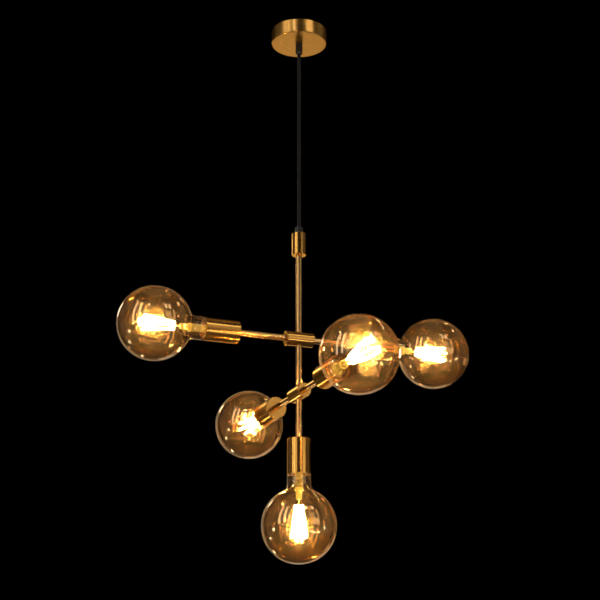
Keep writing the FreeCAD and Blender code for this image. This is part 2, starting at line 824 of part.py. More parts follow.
def filament_ends(index):
    """Where one filament's centreline starts and ends."""
    turn = 360.0 / FILAMENTS * index
    inner = star_point(FILAMENT_R_IN, GLOBE_CENTRE - FILAMENT_START, turn)
    outer = star_point(FILAMENT_R_OUT, GLOBE_CENTRE + FILAMENT_END, turn + FILAMENT_TWIST)
    return inner, outer


def bulb_mount():
    """The glass mount: a flare in the neck, a tube, a collar, a pinch and a rod with two stars of wire."""
    start = CAP_L - GLASS_TAIL
    tail_r = CAP_D / 2 - 3 * CAP_T - GLASS_FIT - GLASS_T - GLASS_FIT
    tube_end = start + MOUNT_L
    collar_end = tube_end + MOUNT_COLLAR_L
    pinch_end = collar_end + PINCH_L
    rod_end = GLOBE_CENTRE + FILAMENT_END + STAR_WIRE_D
    mount = turned(
        [
            (0, start),
            (tail_r, start),
            (tail_r, start + MOUNT_FLARE_T),
            (MOUNT_D / 2, start + 3 * MOUNT_FLARE_T, MOUNT_FLARE_ROUND),
            (MOUNT_D / 2, tube_end, MOUNT_ROUND),
            (MOUNT_COLLAR_D / 2, tube_end + MOUNT_COLLAR_RISE, MOUNT_ROUND),
            (MOUNT_COLLAR_D / 2, collar_end, MOUNT_COLLAR_ROUND),
            (PINCH_D / 2, collar_end + PINCH_RISE, PINCH_FOOT_ROUND),
            (PINCH_D / 2, pinch_end, PINCH_TOP_ROUND),
            (ROD_D / 2, pinch_end, ROD_FOOT_ROUND),
            (ROD_D / 2, rod_end, ROD_TOP_ROUND),
            (0, rod_end),
        ]
    )
    for i in range(FILAMENTS):
        for end in filament_ends(i):
            hub_point = V(0, 0, end.z)
            reach = (end - hub_point).normalize() * (FILAMENT_D / 2)
            mount = mount.fuse(cylinder(STAR_WIRE_D, hub_point, end + reach))
    return mount


def bulb_filaments():
    """The glowing sticks between the two stars of wire."""
    sticks = []
    for i in range(FILAMENTS):
        inner, outer = filament_ends(i)
        along = (outer - inner).normalize()
        clear = along * (STAR_WIRE_D / 2 + STAR_GAP)
        sticks.append(cylinder(FILAMENT_D, inner + clear, outer - clear))
    return group(sticks)


# ---------------------------------------------------------------- the whole lamp


def nodes():
    """Every node's name and its shape."""
    made = {
        "canopy_cup": canopy_cup(),
        "crossbar": crossbar(),
        "crossbar_nipple": crossbar_nipple(),
        "nipple_nuts": nipple_nuts(),
        "earth_screw": earth_screw(),
        "terminal_block": terminal_block(),
        "supply_leads": supply_leads(),
        "cord_tail_top": cord_tail_top(),
        "cord_grip_top": cord_grip_top(),
        "set_screw_top": set_screw(Z_FLOOR - SET_SCREW_TOP_DROP, GRIP_TOP_D),
        "cord": cord(),
        "cord_grip_bottom": cord_grip_bottom(),
        "set_screw_bottom": set_screw(Z_LOW_MOUTH - SET_SCREW_LOW_DROP, GRIP_LOW_D),
        "cord_tail_bottom": cord_tail_bottom(),
        "coupler": coupler(),
        "stem_upper": stem_upper(),
        "stem_middle": stem_middle(),
        "stem_lower": stem_lower(),
        "hub_upper": hub(Z_UPPER, V(1, 0, 0), THREAD_CLEARANCE),
        "hub_lower": hub(Z_LOWER, V(0, 1, 0), TURN_GAP),
        "upper_wires": upper_wires(),
        "lower_wires": lower_wires(),
    }
    for name in ("left", "right", "front", "back"):
        made[f"arm_{name}"] = arm(name)
    cup = socket_cup()
    holder = lamp_holder()
    bulb = {
        "glass": bulb_glass(),
        "cap": bulb_cap(),
        "mount": bulb_mount(),
        "filaments": bulb_filaments(),
    }
    for name, (start, direction) in SOCKETS.items():
        made[f"socket_cup_{name}"] = placed(cup, start, direction)
        made[f"lamp_holder_{name}"] = placed(holder, start, direction)
        for piece, shape in bulb.items():
            made[f"bulb_{piece}_{name}"] = placed(shape, start + direction * BULB_START, direction)
    for level, names in (("upper", UPPER_SOCKETS), ("lower", LOWER_SOCKETS)):
        places = [SOCKETS[name] for name in names]
        made[f"holder_nuts_{level}"] = group([hex_nut(s + d * NUT_START, d) for s, d in places])
        contacts = [placed(c, s, d) for s, d in places for c in holder_contacts()]
        made[f"holder_contacts_{level}"] = group(contacts)
    return made


def main():
    """Writes one STEP file for each node."""
    os.makedirs("parts", exist_ok=True)
    for name, shape in nodes().items():
        shape.exportStep(f"parts/{name}.step")
    print(f"lowest point {Z_BOTTOM - BULB_START - GLOBE_CENTRE - GLOBE_D / 2:.1f} mm")


main()
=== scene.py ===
"""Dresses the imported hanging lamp: satin brass, black cord, lit amber globe bulbs, and a dark studio."""

import json
import math

import bpy
from mathutils import Matrix, Quaternion, Vector


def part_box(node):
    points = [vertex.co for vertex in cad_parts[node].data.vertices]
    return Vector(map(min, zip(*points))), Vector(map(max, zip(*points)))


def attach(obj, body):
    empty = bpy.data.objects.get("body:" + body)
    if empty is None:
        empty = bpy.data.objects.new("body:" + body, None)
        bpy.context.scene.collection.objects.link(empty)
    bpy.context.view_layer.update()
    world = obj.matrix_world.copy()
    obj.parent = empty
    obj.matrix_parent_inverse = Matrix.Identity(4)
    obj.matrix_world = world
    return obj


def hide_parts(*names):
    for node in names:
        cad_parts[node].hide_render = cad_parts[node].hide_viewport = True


bl_info = {
    "name": "Hanging Lamp With Crossed Arms",
    "version": (1, 0, 0),
    "blender": (4, 5, 0),
    "location": "3D View > Sidebar > Lamp",
    "description": "Dresses the packed lamp with brass, cord, glass and lit filaments",
    "category": "Object",
}

MM = 0.001
TAU = 2 * math.pi
Z = Vector((0, 0, 1))
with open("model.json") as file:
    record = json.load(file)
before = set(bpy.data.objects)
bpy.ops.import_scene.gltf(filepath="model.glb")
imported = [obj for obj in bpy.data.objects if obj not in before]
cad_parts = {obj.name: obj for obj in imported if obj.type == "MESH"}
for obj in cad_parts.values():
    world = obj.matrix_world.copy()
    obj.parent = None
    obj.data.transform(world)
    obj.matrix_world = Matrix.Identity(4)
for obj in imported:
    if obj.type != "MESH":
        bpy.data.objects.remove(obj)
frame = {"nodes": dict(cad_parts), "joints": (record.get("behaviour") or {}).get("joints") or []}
NODES = frame["nodes"]
JOINTS = {joint["name"]: joint for joint in frame["joints"]}
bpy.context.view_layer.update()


def bulb_place(name):
    """Where a bulb's cap begins and the way the bulb faces, from its box and its joint in the frame."""
    facing = Vector(JOINTS[f"bulb_{name}_unscrew"]["axis"])
    low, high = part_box(f"bulb_cap_{name}")
    half = Vector([side * way / 2 for side, way in zip(high - low, facing)])
    return (low + high) / 2 - half, facing


BULBS = {name: bulb_place(name) for name in ("left", "right", "front", "back", "bottom")}
# The heights of the two arms
UPPER_Z = BULBS["left"][0].z
LOWER_Z = BULBS["front"][0].z


# ---------------------------------------------------------------- shader maths


class Value:
    """A number that varies over a surface: sums on it add Math nodes."""

    def __init__(self, tree, socket):
        self.tree = tree
        self.socket = socket

    def maths(self, operation, *others):
        """One Math node of this value and others."""
        node = self.tree.nodes.new("ShaderNodeMath")
        node.operation = operation
        for socket, value in zip(node.inputs, (self, *others)):
            connect(self.tree, socket, value)
        return Value(self.tree, node.outputs[0])

    def reflected(self, operation, other):
        """One Math node with this value second."""
        node = self.tree.nodes.new("ShaderNodeMath")
        node.operation = operation
        connect(self.tree, node.inputs[0], other)
        connect(self.tree, node.inputs[1], self)
        return Value(self.tree, node.outputs[0])

    def __add__(self, other):
        return self.maths("ADD", other)

    __radd__ = __add__

    def __sub__(self, other):
        return self.maths("SUBTRACT", other)

    def __rsub__(self, other):
        return self.reflected("SUBTRACT", other)

    def __mul__(self, other):
        return self.maths("MULTIPLY", other)

    __rmul__ = __mul__

    def __truediv__(self, other):
        return self.maths("DIVIDE", other)

    def __rtruediv__(self, other):
        return self.reflected("DIVIDE", other)

    def __pow__(self, other):
        return self.maths("POWER", other)

    def __gt__(self, other):
        return self.maths("GREATER_THAN", other)

    def __lt__(self, other):
        return self.maths("LESS_THAN", other)

    def sin(self):
        """The sine, of radians."""
        return self.maths("SINE")


def connect(tree, socket, value):
    """Links a socket to a value, or sets it."""
    if isinstance(value, Value):
        value = value.socket
    if isinstance(value, bpy.types.NodeSocket):
        tree.links.new(value, socket)
    else:
        socket.default_value = value


class Finish:
    """A material under construction."""

    def __init__(self, name):
        self.material = bpy.data.materials.new(name)
        self.material.use_nodes = True
        self.tree = self.material.node_tree
        self.tree.nodes.clear()

    def node(self, kind, settings=None, sockets=None, output=0):
        """Adds a node, with its settings first and then its sockets, and returns one output."""
        node = self.tree.nodes.new(kind)
        for key, value in (settings or {}).items():
            setattr(node, key, value)
        for key, value in (sockets or {}).items():
            connect(self.tree, node.inputs[key], value)
        return node.outputs[output]

    def value(self, *args, **more):
        """A node's output as a value for sums."""
        return Value(self.tree, self.node(*args, **more))

    def mix(self, factor, first, second):
        """A blend of two colours."""
        sockets = {0: factor, 6: colour4(first), 7: colour4(second)}
        return self.node("ShaderNodeMix", {"data_type": "RGBA"}, sockets, 2)

    def blend(self, factor, first, second):
        """A blend of two shaders."""
        return self.node("ShaderNodeMixShader", None, {0: factor, 1: first, 2: second})

    def place(self):
        """The X, Y and Z of a point of the piece, in metres."""
        at = self.node("ShaderNodeTexCoord", output=3)
        split = self.node("ShaderNodeSeparateXYZ", None, {0: at}).node
        return [Value(self.tree, split.outputs[i]) for i in range(3)]

    def joined(self, x, y, z):
        """A vector of three values."""
        return self.node("ShaderNodeCombineXYZ", None, {0: x, 1: y, 2: z})

    def noise(self, vector, scale, detail=2.0, roughness=0.5):
        """Soft noise from 0 to 1 on a vector."""
        sockets = {"Vector": vector, "Scale": scale, "Detail": detail, "Roughness": roughness}
        return self.value("ShaderNodeTexNoise", None, sockets)

    def between(self, value, low, high, to_low=0.0, to_high=1.0):
        """A value moved from one range to another and kept in it."""
        sockets = {0: value, 1: low, 2: high, 3: to_low, 4: to_high}
        return self.value("ShaderNodeMapRange", None, sockets)

    def bump(self, height, distance, strength=1.0):
        """A normal from a height between 0 and 1."""
        sockets = {"Height": height, "Distance": distance, "Strength": strength}
        return self.node("ShaderNodeBump", None, sockets)

    def facing(self):
        """0 where the surface faces the eye and 1 at its outline."""
        return self.value("ShaderNodeLayerWeight", None, {"Blend": 0.5}, output=1)

    def principled(self, **sockets):
        """The surface shader with the sockets given by name, underscores for spaces."""
        named = {key.replace("_", " "): value for key, value in sockets.items()}
        return self.node("ShaderNodeBsdfPrincipled", None, named)

    def done(self, surface):
        """Sets the surface and gives the material."""
        out = self.tree.nodes.new("ShaderNodeOutputMaterial")
        connect(self.tree, out.inputs["Surface"], surface)
        return self.material


def colour4(colour):
    """A plain colour with its alpha, or a link as it is."""
    if isinstance(colour, (Value, bpy.types.NodeSocket)):
        return colour
    return (*tuple(colour)[:3], 1.0)


def shade(colour, factor):
    """A colour made lighter or darker."""
    return tuple(min(1.0, c * factor) for c in tuple(colour)[:3])


def round_axis(finish, axis, centre=(0.0, 0.0, 0.0)):
    """Along an axis, out from it, and the turn about it, for the point that is shaded."""
    place = [p - c if abs(c) > 1e-9 else p for p, c in zip(finish.place(), centre)]
    along = place[axis]
    side, up = [place[i] for i in range(3) if i != axis]
    out = (side * side + up * up) ** 0.5
    return along, out, side.maths("ARCTAN2", up)


# ---------------------------------------------------------------- finishes


ORIGIN = (0.0, 0.0, 0.0)
QUARTER = 1.57  # radians
# Brushed brass: its tint at the outline, the spread of its gloss, and its lacquer
EDGE_TINT = (1.0, 0.78, 0.45, 1.0)
SATIN_SPREAD = 0.09
CLOUD_SPREAD = 0.02
LINE_STRENGTH = 0.15
TURNED_LINE = 0.00002
DRAWN_LINE = 0.000003
LACQUER = 0.12
LACQUER_ROUGH = 0.10


def satin_brass(name, axis, centre=ORIGIN, turned=True, satin=0.17, paler=(1.0, 1.0, 1.0)):
    """Brushed brass under clear lacquer, with its lines round the axis, or along it on drawn tube.

    Satin is its least roughness, and paler multiplies its colour.
    """
    brass = tuple(c * p for c, p in zip(bpy.context.scene.lamp_look.brass, paler))
    f = Finish(name)
    along, out, turn = round_axis(f, axis, centre)
    if turned:
        lines = f.joined(along * 2600.0, out * 2600.0, turn.sin() * 1.2)
        cloud = f.joined(along * 30.0, out * 30.0, turn.sin() * 1.5)
    else:
        across = (turn + QUARTER).sin()
        lines = f.joined(along * 9.0, turn.sin() * 24.0, across * 24.0)
        cloud = f.joined(along * 20.0, turn.sin() * 2.0, across * 2.0)
    fine = f.noise(lines, 1.0 if turned else 2.6, 3.0, 0.65)
    broad = f.noise(cloud, 1.0, 2.0)
    colour = f.mix(f.between(broad, 0.3, 0.7), shade(brass, 0.93), shade(brass, 1.05))
    colour = f.mix(f.between(fine, 0.35, 0.65, 0.0, 0.35), colour, colour4(shade(brass, 0.80)))
    rough = f.between(fine, 0.3, 0.7, satin, satin + SATIN_SPREAD)
    rough = rough + f.between(broad, 0.3, 0.7, 0.0, CLOUD_SPREAD)
    shader = f.principled(
        Base_Color=colour,
        Metallic=1.0,
        Roughness=rough,
        Normal=f.bump(fine, TURNED_LINE if turned else DRAWN_LINE, LINE_STRENGTH),
        Specular_Tint=EDGE_TINT,
        Coat_Weight=LACQUER,
        Coat_Roughness=LACQUER_ROUGH,
    )
    return f.done(shader)


def plain_metal(name, colour, roughness, axis=2, worn=0.85):
    """A small turned or pressed metal piece with faint tool lines."""
    f = Finish(name)
    along, out, turn = round_axis(f, axis)
    grain = f.noise(f.joined(along * 1800.0, out * 1800.0, turn.sin() * 3.0), 1.0, 2.0)
    spots = f.noise(f.node("ShaderNodeTexCoord", output=3), 260.0, 3.0, 0.6)
    shader = f.principled(
        Base_Color=f.mix(f.between(spots, 0.35, 0.7), colour, shade(colour, worn)),
        Metallic=1.0,
        Roughness=f.between(grain, 0.3, 0.7, roughness - 0.05, roughness + 0.08),
        Normal=f.bump(grain, 0.00003, 0.4),
    )
    return f.done(shader)


def moulded_plastic(name, colour, roughness, grain_size=3200.0):
    """Moulded plastic with a fine eroded grain."""
    f = Finish(name)
    at = f.node("ShaderNodeTexCoord", output=3)
    grain = f.noise(at, grain_size, 2.0, 0.6)
    cloud = f.noise(at, 90.0, 2.0)
    shader = f.principled(
        Base_Color=f.mix(f.between(cloud, 0.35, 0.65), shade(colour, 0.85), shade(colour, 1.1)),
        Roughness=f.between(grain, 0.3, 0.7, roughness - 0.06, roughness + 0.06),
        Normal=f.bump(grain, 0.00004, 0.5),
    )
    return f.done(shader)


STRANDS = 8.0
PITCH_SHARE = 5.2  # one turn of a strand, in cord diameters


def braided_sleeve(name, colour, diameter):
    """Black woven sleeve: two sets of strands that cross in a spiral round the cord."""
    f = Finish(name)
    along, _, turn = round_axis(f, 2)
    lay = along * (TAU / (PITCH_SHARE * diameter) * STRANDS / 2)
    one = (turn * STRANDS + lay).sin()
    two = (turn * STRANDS - lay).sin()
    over = (turn * STRANDS / 2.0).sin() * (lay * 0.5).sin() > 0.0
    top = f.value("ShaderNodeMix", {"data_type": "FLOAT"}, {0: over, 2: one, 3: two})
    crown = f.between(top, -1.0, 1.0)
    fibre = f.noise(f.joined(along * 2400.0, turn * 12.0, 0.0), 1.0, 2.0)
    # The colour is darker in the gaps between strands, a painted shade, and lighter on their crowns, a
    # painted highlight; the fibre noise is the sleeve's own tone
    shader = f.principled(
        Base_Color=f.mix(crown * 0.8 + fibre * 0.2, shade(colour, 0.45), shade(colour, 1.5)),
        Roughness=f.between(fibre, 0.3, 0.7, 0.62, 0.8),
        Normal=f.bump(crown, 0.00035, 0.8),
        Specular_IOR_Level=0.25,
        Sheen_Weight=0.05,
        Sheen_Roughness=0.4,
    )
    return f.done(shader)


LIVE_BROWN = (0.10, 0.035, 0.015)
NEUTRAL_BLUE = (0.01, 0.05, 0.32)
EARTH_GREEN = (0.02, 0.16, 0.03)
EARTH_YELLOW = (0.62, 0.46, 0.02)
STRIPES = 1400.0  # how close the earth core's stripes are
CORE_SIDE = 0.001  # metres from the middle core's axis to where the next core's colour starts


def insulation(f, x, y, z, colour):
    """Soft plastic round a conductor."""
    cloud = f.noise(f.joined(x * 300.0, y * 300.0, z * 300.0), 1.0)
    return f.done(f.principled(Base_Color=colour, Roughness=f.between(cloud, 0.3, 0.7, 0.32, 0.42)))


def core_colours(name):
    """The insulation of the cores: brown, green and yellow, blue, from one side to the other."""
    f = Finish(name)
    x, y, z = f.place()
    stripe = ((y + z) * STRIPES).sin() > 0.0
    earth = f.mix(stripe, EARTH_GREEN, EARTH_YELLOW)
    side = f.mix(x > CORE_SIDE, earth, NEUTRAL_BLUE)
    return insulation(f, x, y, z, f.mix(x < -CORE_SIDE, side, LIVE_BROWN))


def paired_cores(name, x_pair):
    """The insulation of two cores side by side: brown and blue."""
    f = Finish(name)
    x, y, z = f.place()
    side = x if x_pair else y
    return insulation(f, x, y, z, f.mix(side > 0.0, LIVE_BROWN, NEUTRAL_BLUE))


# The coat's pale colour at the glass's outline, and how fast the coat turns to it: a painted highlight
# that stands in for the reflection at the outline
OUTLINE_HIGHLIGHT_COLOUR = (0.75, 0.90, 1.0)
HIGHLIGHT_COLOUR_POWER = 4.0
VEIL_COLOUR = (1.0, 0.78, 0.42, 1.0)
SHINE_COLOUR = (1.0, 0.93, 0.82, 1.0)
SHINE_ROUGH = 0.03
SHINE_FACING = 0.035  # what the glass mirrors where it faces the eye
SHINE_RIM = 0.6
SHINE_POWER = 5.0
BAND_TURNED_BACK = 0.4


def clear_glass(name, tint, haze_colour, haze, outline_highlight_haze, outline_highlight_power, veils=(), bands=None):
    """Tinted glass whose thin coat catches some of the filament's light, more towards the outline, where
    the coat turns pale: a painted highlight in place of the reflection there.

    Each veil is a share of the surface and the roughness of its gloss, which mirrors the filament
    as a soft glow. Bands are the bulb's start and direction, and then lengths of it, in mm, with the
    haze that each adds.
    """
    f = Finish(name)
    edge = f.facing()
    at = f.node("ShaderNodeTexCoord", output=3)
    film = f.between(f.noise(at, 34.0, 2.0), 0.3, 0.7, 0.75, 1.25)
    through = f.node("ShaderNodeBsdfTransparent", None, {"Color": colour4(tint)})
    turned_back = 0.5
    if bands:
        (start, direction), *parts = bands
        x, y, z = f.place()
        along = x * direction.x + y * direction.y + z * direction.z - start.dot(direction)
        for low, high, more in parts:
            inside = (along > low * MM) * (along < high * MM)
            haze = haze + inside * more
            turned_back = turned_back + inside * BAND_TURNED_BACK
    coats = []
    # The second coat, in the pale outline colour, is a painted highlight at the outline; the first is the
    # coat's own haze
    for colour in (haze_colour, OUTLINE_HIGHLIGHT_COLOUR):
        lit = f.node("ShaderNodeBsdfTranslucent", None, {"Color": colour4(colour)})
        back = f.node("ShaderNodeBsdfDiffuse", None, {"Color": colour4(colour)})
        coats.append(f.blend(turned_back, lit, back))
    coat = f.blend(edge**HIGHLIGHT_COLOUR_POWER, *coats)
    # The extra coat at the outline paints a bright outline line where the glass would reflect
    body = f.blend((edge**outline_highlight_power * outline_highlight_haze + haze) * film, through, coat)
    for share, rough in veils:
        soft = f.node("ShaderNodeBsdfGlossy", None, {"Color": VEIL_COLOUR, "Roughness": rough})
        body = f.blend(film * share, body, soft)
    gloss = {"Color": SHINE_COLOUR, "Roughness": SHINE_ROUGH}
    shine = f.node("ShaderNodeBsdfGlossy", None, gloss)
    return f.done(f.blend(edge**SHINE_POWER * SHINE_RIM + SHINE_FACING, body, shine))


def glowing_stick(name, colour, strength):
    """The coated chips of a lit filament."""
    f = Finish(name)
    at = f.node("ShaderNodeTexCoord", output=3)
    grain = f.noise(at, 1500.0, 2.0)
    glow = f.mix(f.between(grain, 0.35, 0.65), shade(colour, 0.9), colour)
    shader = f.principled(
        Base_Color=(0.85, 0.55, 0.12, 1.0),
        Roughness=0.6,
        Emission_Color=glow,
        Emission_Strength=strength,
    )
    return f.done(shader)


# ---------------------------------------------------------------- mesh helpers


def dress(node, material):
    """Gives a CAD node one material."""
    mesh = NODES[node].data
    mesh.materials.clear()
    mesh.materials.append(material)


def stand(start, direction):
    """The matrix that puts a piece made along +Z from the origin at start, facing direction."""
    if direction.z < -0.999:
        turn = Quaternion((1, 0, 0), math.pi)
    else:
        turn = Z.rotation_difference(direction)
    return Matrix.Translation(start) @ turn.to_matrix().to_4x4()


def new_piece(name, points, faces, material, body, slot, sharp=35.0):
    """A smooth mesh piece in the row frame, riding on a body."""
    mesh = bpy.data.meshes.new(name)
    mesh.from_pydata(points, [], faces)
    mesh.validate()
    mesh.polygons.foreach_set("use_smooth", [True] * len(mesh.polygons))
    mesh.set_sharp_from_angle(angle=math.radians(sharp))
    mesh.materials.append(material)
    piece = bpy.data.objects.new(name, mesh)
    bpy.context.scene.collection.objects.link(piece)
    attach(piece, body)
    return piece


def spun(section, place, steps, radius_at=None):
    """Points and faces of a closed section of (radius, height) in mm, turned about its axis.

    radius_at(row, angle) may change a row's radius as it goes round. Rows of radius 0 are poles.
    """
    points, rows = [], []
    for i, (radius, height) in enumerate(section):
        if radius < 1e-6:
            rows.append([len(points)] * steps)
            points.append(place @ Vector((0, 0, height * MM)))
            continue
        row = []
        for k in range(steps):
            angle = TAU * k / steps
            r = (radius_at(i, angle) if radius_at else radius) * MM
            row.append(len(points))
            points.append(place @ Vector((r * math.cos(angle), r * math.sin(angle), height * MM)))
        rows.append(row)
    faces = []
    closed = section[0][0] > 1e-6
    pairs = list(zip(rows, rows[1:])) + ([(rows[-1], rows[0])] if closed else [])
    for low, high in pairs:
        for k in range(steps):
            j = (k + 1) % steps
            corners = [low[k], low[j], high[j], high[k]]
            distinct = [c for n, c in enumerate(corners) if c not in corners[:n]]
            if len(distinct) > 2:
                faces.append(distinct)
    return points, faces


def arc(centre, radius, start, end, steps):
    """Points (radius, height) of an arc between two angles in degrees."""
    made = []
    for k in range(steps + 1):
        a = math.radians(start + (end - start) * k / steps)
        made.append((centre[0] + radius * math.cos(a), centre[1] + radius * math.sin(a)))
    return made


# ---------------------------------------------------------------- sizes and colours


class LampSizes(bpy.types.PropertyGroup):
    """Sizes that a user may change."""

    cord_diameter: bpy.props.FloatProperty(
        name="Cord diameter",
        description="Outside diameter of the woven cord",
        default=0.0065,
        unit="LENGTH",
    )
    filament_radius: bpy.props.FloatProperty(
        name="Filament radius", description="Radius of one coated stick", default=0.001, unit="LENGTH"
    )
    tab_radius: bpy.props.FloatProperty(
        name="Tab radius",
        description="Radius of the metal tab at a stick's end",
        default=0.00045,
        unit="LENGTH",
    )
    tab_length: bpy.props.FloatProperty(
        name="Tab length",
        description="How far a tab stands out of its stick",
        default=0.0005,
        unit="LENGTH",
    )
    screw_radius: bpy.props.FloatProperty(
        name="Terminal screw radius",
        description="Radius of a terminal screw",
        default=0.00185,
        unit="LENGTH",
    )
    screw_height: bpy.props.FloatProperty(
        name="Terminal screw height",
        description="Visible length of a terminal screw",
        default=0.0018,
        unit="LENGTH",
    )
    screw_pitch: bpy.props.FloatProperty(
        name="Terminal pitch",
        description="Distance between two terminal screws",
        default=0.008,
        unit="LENGTH",
    )
    screw_count: bpy.props.IntProperty(
        name="Terminal screws", description="Number of terminal screws", default=3, min=1
    )


class LampLook(bpy.types.PropertyGroup):
    """Colours and light that a user may change."""

    brass: bpy.props.FloatVectorProperty(
        name="Brass",
        description="Colour of the satin brass",
        subtype="COLOR",
        size=3,
        default=(0.74, 0.37, 0.08),
    )
    black: bpy.props.FloatVectorProperty(
        name="Black",
        description="Colour of cord grips and cord",
        subtype="COLOR",
        size=3,
        default=(0.006, 0.006, 0.006),
    )
    amber: bpy.props.FloatVectorProperty(
        name="Amber",
        description="What one face of the glass lets through",
        subtype="COLOR",
        size=3,
        default=(0.96, 0.87, 0.72),
    )
    haze: bpy.props.FloatVectorProperty(
        name="Haze",
        description="Colour of the coat on the glass",
        subtype="COLOR",
        size=3,
        default=(0.95, 0.50, 0.21),
    )
    glow: bpy.props.FloatVectorProperty(
        name="Glow",
        description="Colour of the lit filaments",
        subtype="COLOR",
        size=3,
        default=(1.0, 0.74, 0.42),
    )
    glow_strength: bpy.props.FloatProperty(
        name="Glow strength", description="Brightness of the lit filaments", default=360.0
    )
    floor: bpy.props.FloatVectorProperty(
        name="Floor",
        description="Colour of the floor",
        subtype="COLOR",
        size=3,
        default=(0.78, 0.76, 0.73),
    )
    panel_strength: bpy.props.FloatProperty(
        name="Panels", description="Brightness of the soft panels, where 1 is white", default=3.0
    )


# ---------------------------------------------------------------- stage

# The camera's place in metres and its angles in degrees
CAMERA_AWAY = 2.3159
CAMERA_SIDE = 0.0017
CAMERA_Z = -1.2748
CAMERA_TURN = 21.22
CAMERA_PITCH = 18.07
CAMERA_LENS = 84.51
CAMERA_SENSOR = 36.0
CAMERA_REACH = 50.0
FLOOR_Z = -2.15
FLOOR_R = 5.0
FLOOR_STEPS = 96
FLOOR_MIRRORED = (0.05, 0.05, 0.05, 1.0)  # how dark the floor is in the brass and the glass
LEVEL_LIGHT = 0.25
BLACK = (0.0, 0.0, 0.0, 1.0)
WHITE = (1.0, 1.0, 1.0, 1.0)
GLASS_LAYERS = 40  # how many faces of clear glass a line of sight may cross
PANEL_AWAY = 2.2
# Each soft panel: angle from the camera's side, width, lowest and highest point, share of the brightness
PANELS = (
    (-61, 0.24, -0.90, 1.50, 1.1),
    (-44, 0.24, -0.90, 1.50, 1.3),
    (37, 0.24, 0.85, 1.65, 1.4),
    (51, 0.24, 0.85, 1.65, 1.4),
    (-28, 0.45, -0.90, 0.45, 0.45),
    (20, 0.12, -0.85, -0.33, 1.8),
    (62, 0.20, -1.00, 0.80, 0.35),
    (42, 0.70, -0.30, 0.40, 0.22),
    (44, 1.00, -1.92, -1.82, 4.0),
    (-146, 0.35, 0.15, 0.50, 2.0),
    (-159, 1.80, -1.30, 0.40, 0.10),
    (-100, 1.60, -1.50, 1.50, 0.03),
    (100, 1.60, -1.50, 1.50, 0.03),
    (50, 0.80, -0.95, -0.33, 0.45),
    (172, 1.20, -1.67, -0.77, 0.22),
    (-20, 0.20, 1.10, 1.30, 6.0),
    (14, 0.20, -1.60, -1.40, 6.0),
    (-84, 0.16, -1.36, -1.20, 8.0),
    (84, 0.16, -1.20, -1.04, 8.0),
    (108, 0.20, 1.70, 1.90, 5.0),
    (-112, 0.20, -1.80, -1.60, 5.0),
    (-36, 0.14, -1.76, -1.62, 8.0),
    (30, 0.14, 1.74, 1.88, 8.0),
    (-70, 0.14, 1.70, 1.84, 8.0),
    (66, 0.14, -1.74, -1.60, 8.0),
    (148, 0.16, 1.60, 1.76, 7.0),
    (-152, 0.16, -1.80, -1.64, 7.0),
)
NEUTRAL = (1.0, 0.97, 0.92)
WARM = (1.0, 0.88, 0.74)
WARM_FROM = 120  # degrees from the camera's side
OVERHEAD_Z = 1.9
OVERHEAD = 2.0
OVERHEAD_SHARE = 0.05


